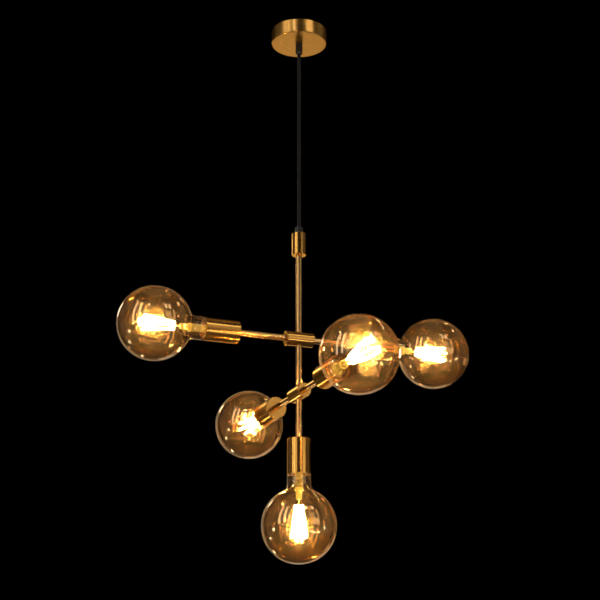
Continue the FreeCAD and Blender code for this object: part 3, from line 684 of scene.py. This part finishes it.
class LAMP_OT_stage(bpy.types.Operator):
    """Makes the camera, the floor, the dark room and its soft panels"""

    bl_idname = "lamp.stage"
    bl_label = "Stage"

    def execute(self, context):
        """Builds the stage round the lamp."""
        scene = context.scene
        look = scene.lamp_look
        turn = math.radians(CAMERA_TURN)
        away = Vector((-math.sin(turn), -math.cos(turn), 0))
        right = Vector((math.cos(turn), -math.sin(turn), 0))
        self.camera(scene, away, right)
        self.floor(look)
        self.room(scene)
        for angle, width, low, high, share in PANELS:
            a = math.radians(angle)
            direction = away * math.cos(a) + right * math.sin(a)
            place = direction * PANEL_AWAY + Z * (low + high) / 2
            colour = WARM if abs(angle) > WARM_FROM else NEUTRAL
            self.panel(place, -direction, width, high - low, look.panel_strength * share, colour)
        overhead = look.panel_strength * OVERHEAD_SHARE
        self.panel(Z * OVERHEAD_Z, -Z, OVERHEAD, OVERHEAD, overhead, WARM)
        scene.view_settings.view_transform = "Standard"
        scene.cycles.transparent_max_bounces = GLASS_LAYERS
        return {"FINISHED"}

    def camera(self, scene, away, right):
        """The camera stands where the photograph was taken, below the lamp and looking up at it."""
        data = bpy.data.cameras.new("camera")
        data.lens = CAMERA_LENS
        data.sensor_width = CAMERA_SENSOR
        data.clip_end = CAMERA_REACH
        camera = bpy.data.objects.new("camera", data)
        scene.collection.objects.link(camera)
        camera.location = away * CAMERA_AWAY + right * CAMERA_SIDE + Z * CAMERA_Z
        pitch = math.radians(CAMERA_PITCH)
        forward = -away * math.cos(pitch) + Z * math.sin(pitch)
        camera.rotation_mode = "QUATERNION"
        camera.rotation_quaternion = forward.to_track_quat("-Z", "Y")
        scene.camera = camera

    def floor(self, look):
        """A plain pale round floor."""
        turns = [TAU * k / FLOOR_STEPS for k in range(FLOOR_STEPS)]
        points = [(FLOOR_R * math.cos(a), FLOOR_R * math.sin(a), FLOOR_Z) for a in turns]
        mesh = bpy.data.meshes.new("floor")
        mesh.from_pydata(points, [], [list(range(FLOOR_STEPS))])
        f = Finish("pale_floor")
        cloud = f.noise(f.node("ShaderNodeTexCoord", output=3), 1.4, 2.0)
        colour = f.mix(f.between(cloud, 0.3, 0.7), shade(look.floor, 0.97), shade(look.floor, 1.02))
        plain = f.principled(Base_Color=colour, Roughness=0.9)
        dark = f.principled(Base_Color=FLOOR_MIRRORED, Roughness=0.9)
        mirrored = f.value("ShaderNodeLightPath", output=3)
        mesh.materials.append(f.done(f.blend(mirrored, plain, dark)))
        floor = bpy.data.objects.new("floor", mesh)
        bpy.context.scene.collection.objects.link(floor)

    def room(self, scene):
        """Black behind the lamp and in its reflections, with a little level light on it."""
        world = bpy.data.worlds.new("dark_room")
        world.use_nodes = True
        tree = world.node_tree
        tree.nodes.clear()
        path = tree.nodes.new("ShaderNodeLightPath")
        seen = Value(tree, path.outputs["Is Camera Ray"])
        seen = seen.maths("MAXIMUM", Value(tree, path.outputs["Is Glossy Ray"]))
        seen = seen.maths("MAXIMUM", Value(tree, path.outputs["Is Transmission Ray"]))
        level = tree.nodes.new("ShaderNodeBackground")
        level.inputs["Color"].default_value = WHITE
        level.inputs["Strength"].default_value = LEVEL_LIGHT
        dark = tree.nodes.new("ShaderNodeBackground")
        dark.inputs["Color"].default_value = BLACK
        mix = tree.nodes.new("ShaderNodeMixShader")
        connect(tree, mix.inputs[0], seen)
        tree.links.new(level.outputs[0], mix.inputs[1])
        tree.links.new(dark.outputs[0], mix.inputs[2])
        out = tree.nodes.new("ShaderNodeOutputWorld")
        tree.links.new(mix.outputs[0], out.inputs["Surface"])
        scene.world = world

    def panel(self, place, facing, width, height, strength, colour):
        """One soft panel that faces the lamp."""
        data = bpy.data.lights.new("panel", "AREA")
        data.shape = "RECTANGLE"
        data.size, data.size_y = width, height
        data.energy = strength * math.pi * width * height
        data.color = colour
        lamp = bpy.data.objects.new("panel", data)
        bpy.context.scene.collection.objects.link(lamp)
        lamp.location = place
        lamp.rotation_mode = "QUATERNION"
        lamp.rotation_quaternion = facing.to_track_quat("-Z", "Y")
        lamp.visible_camera = False
        lamp.visible_transmission = False


# ---------------------------------------------------------------- brass and fittings


CANOPY_SATIN = 0.24
TUBE_SATIN = 0.19
TUBE_PALER = (1.08, 1.24, 2.1)


class LAMP_OT_brass(bpy.types.Operator):
    """Gives the canopy, stem, hubs, arms and cups their satin brass"""

    bl_idname = "lamp.brass"
    bl_label = "Satin brass"

    def execute(self, context):
        """Makes one finish for each line that pieces are turned or drawn about."""
        upper = (0.0, 0.0, UPPER_Z)
        lower = (0.0, 0.0, LOWER_Z)
        tube = (False, TUBE_SATIN, TUBE_PALER)
        canopy = satin_brass("satin_brass_canopy", 2, satin=CANOPY_SATIN)
        turned_z = satin_brass("satin_brass_turned_z", 2)
        turned_x = satin_brass("satin_brass_turned_x", 0, upper)
        turned_y = satin_brass("satin_brass_turned_y", 1, lower)
        drawn_z = satin_brass("satin_brass_drawn_z", 2, ORIGIN, *tube)
        drawn_x = satin_brass("satin_brass_drawn_x", 0, upper, *tube)
        drawn_y = satin_brass("satin_brass_drawn_y", 1, lower, *tube)
        given = {
            canopy: ("canopy_cup",),
            turned_z: ("coupler", "socket_cup_bottom"),
            turned_x: ("hub_upper", "socket_cup_left", "socket_cup_right"),
            turned_y: ("hub_lower", "socket_cup_front", "socket_cup_back"),
            drawn_z: ("stem_upper", "stem_middle", "stem_lower"),
            drawn_x: ("arm_left", "arm_right"),
            drawn_y: ("arm_front", "arm_back"),
        }
        for material, nodes in given.items():
            for node in nodes:
                dress(node, material)
        return {"FINISHED"}


ZINC = (0.55, 0.56, 0.56)
CONTACT_BRASS = (0.66, 0.46, 0.20)
SCREW_BRASS = (0.62, 0.43, 0.17)
BLACK_STEEL = (0.03, 0.03, 0.03)
THERMOSET = (0.012, 0.011, 0.010)
PALE_PLASTIC = (0.60, 0.58, 0.53)


class LAMP_OT_fittings(bpy.types.Operator):
    """Finishes the grips, the fixing parts, the wiring and the lamp holders"""

    bl_idname = "lamp.fittings"
    bl_label = "Fittings"

    def execute(self, context):
        """Gives each hidden or small piece its own finish."""
        look = context.scene.lamp_look
        zinc = plain_metal("zinc_steel", ZINC, 0.34)
        contact = plain_metal("contact_brass", CONTACT_BRASS, 0.28)
        set_screw = plain_metal("black_screw", BLACK_STEEL, 0.4, axis=1)
        grip = moulded_plastic("black_plastic", shade(look.black, 1.6), 0.38)
        holder = moulded_plastic("black_thermoset", THERMOSET, 0.5)
        nuts = ("nipple_nuts", "holder_nuts_upper", "holder_nuts_lower")
        given = {
            zinc: ("crossbar", "crossbar_nipple", *nuts),
            plain_metal("brass_screw", SCREW_BRASS, 0.26): ("earth_screw",),
            contact: ("holder_contacts_upper", "holder_contacts_lower"),
            set_screw: ("set_screw_top", "set_screw_bottom"),
            moulded_plastic("terminal_plastic", PALE_PLASTIC, 0.45): ("terminal_block",),
            grip: ("cord_grip_top", "cord_grip_bottom"),
            holder: tuple(f"lamp_holder_{name}" for name in BULBS),
            core_colours("supply_cores"): ("supply_leads",),
            paired_cores("upper_cores", False): ("upper_wires",),
            paired_cores("lower_cores", True): ("lower_wires",),
        }
        for material, nodes in given.items():
            for node in nodes:
                dress(node, material)
        return {"FINISHED"}


SCREW_METAL = (0.60, 0.60, 0.58)
SCREW_SINK = 1.8 * MM  # the block's top to the middle of a screw
SCREW_STEPS = 32
SLOT_ACROSS = 2.6  # a slot's length and width, in screw radii
SLOT_WIDTH = 0.34
SLOT_UP = 0.6  # the slot cutter's middle above the screw's, in screw heights
SCREW_TURN = (-0.6, 1.1)  # radians
SCREW_SEED = 5


class LAMP_OT_terminal_screws(bpy.types.Operator):
    """Makes the slotted screws in the wells of the terminal block"""

    bl_idname = "lamp.terminal_screws"
    bl_label = "Terminal screws"

    def execute(self, context):
        """Builds the tree, runs it once and keeps the plain mesh."""
        sizes = context.scene.lamp_sizes
        low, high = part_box("terminal_block")
        head = plain_metal("terminal_screw_metal", SCREW_METAL, 0.3)
        tree = bpy.data.node_groups.new("terminal_screws", "GeometryNodeTree")
        inputs = {
            "Count": ("NodeSocketInt", sizes.screw_count),
            "Pitch": ("NodeSocketFloat", sizes.screw_pitch),
            "Radius": ("NodeSocketFloat", sizes.screw_radius),
            "Height": ("NodeSocketFloat", sizes.screw_height),
        }
        group = tree_inputs(tree, inputs)
        count, pitch, radius, height = (group[name] for name in inputs)
        spaces = tree_maths(tree, "SUBTRACT", count, 1.0)
        half_run = tree_maths(tree, "MULTIPLY", spaces, -0.5)
        first = tree_vector(tree, {0: tree_maths(tree, "MULTIPLY", half_run, pitch)})
        row = {"Count": count, "Start Location": first, "Offset": tree_vector(tree, {0: pitch})}
        line = tree_node(tree, "GeometryNodeMeshLine", None, row)
        disc = {"Vertices": SCREW_STEPS, "Radius": radius, "Depth": height}
        shank = tree_node(tree, "GeometryNodeMeshCylinder", None, disc)
        across = tree_maths(tree, "MULTIPLY", radius, SLOT_ACROSS)
        width = tree_maths(tree, "MULTIPLY", radius, SLOT_WIDTH)
        slot = tree_vector(tree, {0: across, 1: width, 2: height})
        rise = tree_vector(tree, {2: tree_maths(tree, "MULTIPLY", height, SLOT_UP)})
        cutter = tree_node(tree, "GeometryNodeMeshCube", None, {"Size": slot})
        raised = {"Geometry": cutter, "Translation": rise}
        cutter = tree_node(tree, "GeometryNodeTransform", None, raised)
        cut = {"Mesh 1": shank, "Mesh 2": cutter}
        screw = tree_node(tree, "GeometryNodeMeshBoolean", {"operation": "DIFFERENCE"}, cut)
        span = {2: SCREW_TURN[0], 3: SCREW_TURN[1], "Seed": SCREW_SEED}
        turned = tree_node(tree, "FunctionNodeRandomValue", {"data_type": "FLOAT"}, span, 1)
        spin = tree_vector(tree, {2: turned})
        placed = {"Points": line, "Instance": screw, "Rotation": spin}
        made = tree_node(tree, "GeometryNodeInstanceOnPoints", None, placed)
        made = tree_node(tree, "GeometryNodeRealizeInstances", None, {"Geometry": made})
        made = tree_node(tree, "GeometryNodeSetMaterial", None, {"Geometry": made, "Material": head})
        tree_output(tree, made)
        mesh = run_tree("terminal_screws", tree, inputs, None)
        middle = Vector(((low.x + high.x) / 2, (low.y + high.y) / 2, high.z - SCREW_SINK))
        mesh.transform(Matrix.Translation(middle))
        piece = bpy.data.objects.new("terminal_screws", mesh)
        context.scene.collection.objects.link(piece)
        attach(piece, "canopy")
        return {"FINISHED"}


# ---------------------------------------------------------------- geometry node helpers


def tree_node(tree, kind, settings=None, sockets=None, output=0):
    """Adds a node to a geometry tree, settings first, and returns one output."""
    node = tree.nodes.new(kind)
    for key, value in (settings or {}).items():
        setattr(node, key, value)
    for key, value in (sockets or {}).items():
        targets = value if isinstance(value, list) else [value]
        for target in targets:
            connect(tree, node.inputs[key], target)
    return node.outputs[output]


def tree_maths(tree, operation, first, second):
    """One Math node of two values."""
    return tree_node(tree, "ShaderNodeMath", {"operation": operation}, {0: first, 1: second})


def tree_vector(tree, parts):
    """A vector of values for X, Y and Z, numbered 0 to 2; one left out is 0."""
    return tree_node(tree, "ShaderNodeCombineXYZ", None, parts)


def tree_inputs(tree, inputs):
    """Names the tree's inputs and gives their sockets; a Geometry input comes first."""
    tree.interface.new_socket("Geometry", in_out="INPUT", socket_type="NodeSocketGeometry")
    for name, (kind, default) in inputs.items():
        socket = tree.interface.new_socket(name, in_out="INPUT", socket_type=kind)
        socket.default_value = default
    tree.interface.new_socket("Geometry", in_out="OUTPUT", socket_type="NodeSocketGeometry")
    return tree.nodes.new("NodeGroupInput").outputs


def tree_output(tree, made):
    """Ends a geometry tree."""
    tree.links.new(made, tree.nodes.new("NodeGroupOutput").inputs[0])


def run_tree(name, tree, inputs, mesh):
    """Runs a geometry tree on a mesh and gives the plain mesh that it makes."""
    carrier = bpy.data.objects.new(f"{name}_carrier", mesh or bpy.data.meshes.new(f"{name}_start"))
    bpy.context.scene.collection.objects.link(carrier)
    modifier = carrier.modifiers.new("tree", "NODES")
    modifier.node_group = tree
    for item in tree.interface.items_tree:
        if item.in_out == "INPUT" and item.name in inputs:
            modifier[item.identifier] = inputs[item.name][1]
    bpy.context.view_layer.update()
    evaluated = carrier.evaluated_get(bpy.context.evaluated_depsgraph_get())
    made = bpy.data.meshes.new_from_object(evaluated)
    made.name = name
    carrier.modifiers.remove(modifier)
    bpy.data.objects.remove(carrier)
    return made


# ---------------------------------------------------------------- cord

# The cord's two mouths, which are its joints in the frame
CORD_TOP_Z = JOINTS["cord_swing"]["pos_m"][2]
CORD_LOW_Z = JOINTS["fixture_tilt"]["pos_m"][2]


class LAMP_OT_cord(bpy.types.Operator):
    """Hangs the woven cord between its two grips"""

    bl_idname = "lamp.cord"
    bl_label = "Cord"

    def execute(self, context):
        """The cord is one straight run, held taut by the lamp's weight."""
        sizes = context.scene.lamp_sizes
        look = context.scene.lamp_look
        material = braided_sleeve("woven_sleeve", look.black, sizes.cord_diameter)
        curve = bpy.data.curves.new("woven_cord", "CURVE")
        curve.dimensions = "3D"
        curve.bevel_depth = sizes.cord_diameter / 2
        curve.bevel_resolution = 6
        curve.resolution_u = 24
        curve.use_fill_caps = True
        line = curve.splines.new("NURBS")
        route = [CORD_TOP_Z, (CORD_TOP_Z + CORD_LOW_Z) / 2, CORD_LOW_Z]
        line.points.add(len(route) - 1)
        for point, z in zip(line.points, route):
            point.co = (0, 0, z, 1)
        line.order_u = 3
        line.use_endpoint_u = True
        curve.materials.append(material)
        cord = bpy.data.objects.new("woven_cord", curve)
        context.scene.collection.objects.link(cord)
        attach(cord, "cord")
        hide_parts("cord")
        for node in ("cord_tail_top", "cord_tail_bottom"):
            dress(node, material)
        return {"FINISHED"}


# ---------------------------------------------------------------- bulbs

# The glass, in mm from the tip of the bulb's cap
GLOBE_R = 62.5
GLOBE_AT = 113.5
GLASS_WALL = 0.9
NECK_R = 20.0
BLEND_R = 14.0
SHOULDER_R = 7.0
SHOULDER_AT = 34.5
TAIL_R = 11.95
TAIL_AT = 20.0
SHOULDER_ROWS = 8
BLEND_ROWS = 10
GLOBE_ROWS = 44


def globe_side(inset):
    """One face of the glass from its shoulder to the far pole, inset from the outside, in mm."""
    side = NECK_R + BLEND_R
    span = GLOBE_R + BLEND_R
    blend_at = GLOBE_AT - math.sqrt(span**2 - side**2)
    lean = math.degrees(math.atan2(GLOBE_AT - blend_at, side))
    shoulder_at = (NECK_R - SHOULDER_R, SHOULDER_AT)
    shoulder = arc(shoulder_at, SHOULDER_R - inset, -90, 0, SHOULDER_ROWS)
    blend = arc((side, blend_at), BLEND_R + inset, 180, 180 - lean, BLEND_ROWS)
    globe = arc((0, GLOBE_AT), GLOBE_R - inset, -lean, 90, GLOBE_ROWS)
    return shoulder + blend + globe[1:-1] + [(0.0, GLOBE_AT + GLOBE_R - inset)]


GLOBE_STEPS = 128
GLASS_HAZE = (0.0012, 0.03, 10.0)  # haze, extra haze at the outline that paints a pale highlight there, and how narrow that is
GLASS_VEILS = ((0.003, 0.42), (0.044, 0.235))
MOUNT_TINT = (0.99, 0.94, 0.80)
MOUNT_COAT = (1.0, 0.95, 0.34)
# The mounts' haze, extra haze at the outline that paints a pale highlight there, and how narrow that is
MOUNT_HAZE = (0.34, 0.15, 2.0)
# Lengths of the glass mount from the cap's tip, in mm, and the haze that each adds: its flare, the
# foot of its tube, and its collar
MOUNT_BANDS = ((18.0, 27.0, 0.9), (27.0, 35.0, 0.45), (51.0, 55.0, 0.5))


class LAMP_OT_glass(bpy.types.Operator):
    """Blows the five amber globes and their glass mounts"""

    bl_idname = "lamp.glass"
    bl_label = "Bulb glass"

    def execute(self, context):
        """Turns one closed section for each globe and finishes the mounts."""
        look = context.scene.lamp_look
        glass = clear_glass("amber_glass", look.amber, look.haze, *GLASS_HAZE, GLASS_VEILS)
        inside = globe_side(GLASS_WALL)
        section = [(0.0, GLOBE_AT + GLOBE_R)] + globe_side(0)[::-1][1:]
        section += [(TAIL_R, SHOULDER_AT - SHOULDER_R), (TAIL_R, TAIL_AT), (TAIL_R - GLASS_WALL, TAIL_AT)]
        section += [(TAIL_R - GLASS_WALL, inside[0][1])] + inside
        for name, (start, direction) in BULBS.items():
            points, faces = spun(section, stand(start, direction), GLOBE_STEPS)
            piece = new_piece(f"globe_{name}", points, faces, glass, f"bulb_{name}", "amber_glass")
            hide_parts(f"bulb_glass_{name}")
            bands = ((start, direction), *MOUNT_BANDS)
            inner = (f"mount_glass_{name}", MOUNT_TINT, MOUNT_COAT, *MOUNT_HAZE)
            dress(f"bulb_mount_{name}", clear_glass(*inner, bands=bands))
        return {"FINISHED"}


CAP_METAL = (0.62, 0.47, 0.22)
CAP_STEPS = 64
CAP_SHARP = 50.0
CAP_THREAD = (7.0, 25.0)
CAP_PITCH = 3.6
THREAD_ROWS = 60
THREAD_R = 12.675
THREAD_HEIGHT = 0.40
THREAD_FADE = 6.0  # the thread's length over the length in which it grows
# The cap's outline as (radius, height) in mm: below the thread, above it, and back down inside
CAP_BELOW = [(0.0, 0.0), (2.9, 0.0), (4.8, 0.9), (4.8, 1.5), (6.2, 1.5), (10.475, 5.4), (12.675, 6.4)]
CAP_ABOVE = [(13.1, 25.6), (13.1, 27.0)]
CAP_INSIDE = [(12.05, 27.0), (12.05, 19.9), (11.9, 19.9), (11.9, 7.0), (0.0, 4.5)]


class LAMP_OT_caps(bpy.types.Operator):
    """Rolls the screw caps with a real thread"""

    bl_idname = "lamp.caps"
    bl_label = "Screw caps"

    def execute(self, context):
        """Turns each cap, with a radius that climbs one pitch each turn."""
        metal = plain_metal("cap_metal", CAP_METAL, 0.3)
        first, last = CAP_THREAD
        rise = (last - first) / THREAD_ROWS
        thread = [(THREAD_R, first + rise * k) for k in range(THREAD_ROWS + 1)]
        section = CAP_BELOW + thread + CAP_ABOVE + CAP_INSIDE
        begin = len(CAP_BELOW)
        end = begin + len(thread)

        def radius_at(row, angle):
            """The radius of one row at a turn about the axis, in mm."""
            radius, height = section[row]
            if not begin <= row < end:
                return radius
            share = (height - first) / (last - first)
            fade = min(1.0, THREAD_FADE * share, THREAD_FADE * (1 - share))
            return radius + THREAD_HEIGHT * fade * math.sin(TAU * (height / CAP_PITCH) - angle)

        for name, (start, direction) in BULBS.items():
            points, faces = spun(section, stand(start, direction), CAP_STEPS, radius_at)
            made = (f"screw_cap_{name}", points, faces, metal, f"bulb_{name}", "cap_metal")
            piece = new_piece(*made, sharp=CAP_SHARP)
            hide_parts(f"bulb_cap_{name}")
        return {"FINISHED"}


# The sticks run between two stars of wire, each a (radius, height) in mm, and turn from one to the other
FILAMENTS = 6
STAR_IN = (6.5, GLOBE_AT - 34.0)
STAR_OUT = (13.0, GLOBE_AT + 20.0)
STAR_TWIST = 32.0
STAR_CLEAR = 0.75
TAB_METAL = (0.62, 0.60, 0.56)
STICK_SIDES = 14
TAB_SIDES = 12
STICK_SHARP = 40.0


class LAMP_OT_filaments(bpy.types.Operator):
    """Strings the lit filament sticks between their support wires"""

    bl_idname = "lamp.filaments"
    bl_label = "Filaments"

    def execute(self, context):
        """Runs one tree on the sticks' lines, for each bulb."""
        sizes = context.scene.lamp_sizes
        look = context.scene.lamp_look
        glow = glowing_stick("filament_glow", look.glow, look.glow_strength)
        tab = plain_metal("filament_tab_metal", TAB_METAL, 0.3)
        tree = bpy.data.node_groups.new("filaments", "GeometryNodeTree")
        inputs = {
            "Radius": ("NodeSocketFloat", sizes.filament_radius),
            "Tab Radius": ("NodeSocketFloat", sizes.tab_radius),
            "Tab Length": ("NodeSocketFloat", sizes.tab_length),
        }
        group = tree_inputs(tree, inputs)
        line = tree_node(tree, "GeometryNodeMeshToCurve", None, {0: group["Geometry"]})
        ring = {"Resolution": STICK_SIDES, "Radius": group["Radius"]}
        ring = tree_node(tree, "GeometryNodeCurvePrimitiveCircle", None, ring)
        stick = tree_node(tree, "GeometryNodeCurveToMesh", None, {0: line, 1: ring, "Fill Caps": True})
        stick = tree_node(tree, "GeometryNodeSetMaterial", None, {"Geometry": stick, "Material": glow})
        ends = tree_node(tree, "GeometryNodeCurveEndpointSelection")
        tangent = tree_node(tree, "GeometryNodeInputTangent")
        up = {"axis": "Z"}
        turn = tree_node(tree, "FunctionNodeAlignRotationToVector", up, {"Vector": tangent})
        size = {"Vertices": TAB_SIDES, "Radius": group["Tab Radius"]}
        size["Depth"] = tree_maths(tree, "MULTIPLY", group["Tab Length"], 2.0)
        pin = tree_node(tree, "GeometryNodeMeshCylinder", None, size)
        placed = {"Points": line, "Selection": ends, "Instance": pin, "Rotation": turn}
        tabs = tree_node(tree, "GeometryNodeInstanceOnPoints", None, placed)
        tabs = tree_node(tree, "GeometryNodeRealizeInstances", None, {"Geometry": tabs})
        tabs = tree_node(tree, "GeometryNodeSetMaterial", None, {"Geometry": tabs, "Material": tab})
        made = tree_node(tree, "GeometryNodeJoinGeometry", None, {0: [stick, tabs]})
        made = tree_node(tree, "GeometryNodeRealizeInstances", None, {"Geometry": made})
        tree_output(tree, made)
        for name, (start, direction) in BULBS.items():
            place = stand(start, direction)
            mesh = bpy.data.meshes.new(f"filament_lines_{name}")
            points = [place @ p for i in range(FILAMENTS) for p in self.stick(i)]
            mesh.from_pydata(points, [(2 * i, 2 * i + 1) for i in range(FILAMENTS)], [])
            made_mesh = run_tree(f"filaments_{name}", tree, inputs, mesh)
            made_mesh.polygons.foreach_set("use_smooth", [True] * len(made_mesh.polygons))
            made_mesh.set_sharp_from_angle(angle=math.radians(STICK_SHARP))
            piece = bpy.data.objects.new(f"filaments_{name}", made_mesh)
            context.scene.collection.objects.link(piece)
            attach(piece, f"bulb_{name}")
            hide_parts(f"bulb_filaments_{name}")
        return {"FINISHED"}

    def stick(self, index):
        """The two ends of one coated stick, in metres along the bulb's own axis."""
        ends = []
        for (radius, height), twist in ((STAR_IN, 0.0), (STAR_OUT, STAR_TWIST)):
            a = math.radians(360.0 / FILAMENTS * index + twist)
            ends.append(Vector((radius * math.cos(a), radius * math.sin(a), height)) * MM)
        clear = (ends[1] - ends[0]).normalized() * (STAR_CLEAR * MM)
        return ends[0] + clear, ends[1] - clear


# ---------------------------------------------------------------- add-on

STEPS = (
    LAMP_OT_stage,
    LAMP_OT_cord,
    LAMP_OT_brass,
    LAMP_OT_fittings,
    LAMP_OT_terminal_screws,
    LAMP_OT_glass,
    LAMP_OT_caps,
    LAMP_OT_filaments,
)


class LAMP_PT_panel(bpy.types.Panel):
    """Lists the lamp's settings and a button for each step"""

    bl_idname = "LAMP_PT_panel"
    bl_label = "Hanging lamp"
    bl_space_type = "VIEW_3D"
    bl_region_type = "UI"
    bl_category = "Lamp"

    def draw(self, context):
        """Draws the settings and one button for each step."""
        for group in (context.scene.lamp_sizes, context.scene.lamp_look):
            for key in group.__annotations__:
                self.layout.prop(group, key)
        for step in STEPS:
            self.layout.operator(step.bl_idname)


CLASSES = (LampSizes, LampLook, *STEPS, LAMP_PT_panel)


def register():
    """Adds the classes and the settings."""
    for made in CLASSES:
        bpy.utils.register_class(made)
    bpy.types.Scene.lamp_sizes = bpy.props.PointerProperty(type=LampSizes)
    bpy.types.Scene.lamp_look = bpy.props.PointerProperty(type=LampLook)


def unregister():
    """Takes them away again."""
    del bpy.types.Scene.lamp_look
    del bpy.types.Scene.lamp_sizes
    for made in reversed(CLASSES):
        bpy.utils.unregister_class(made)


def main():
    """Registers the add-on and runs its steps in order."""
    register()
    for step in STEPS:
        group, name = step.bl_idname.split(".")
        getattr(getattr(bpy.ops, group), name)()


if __name__ == "__main__":
    main()
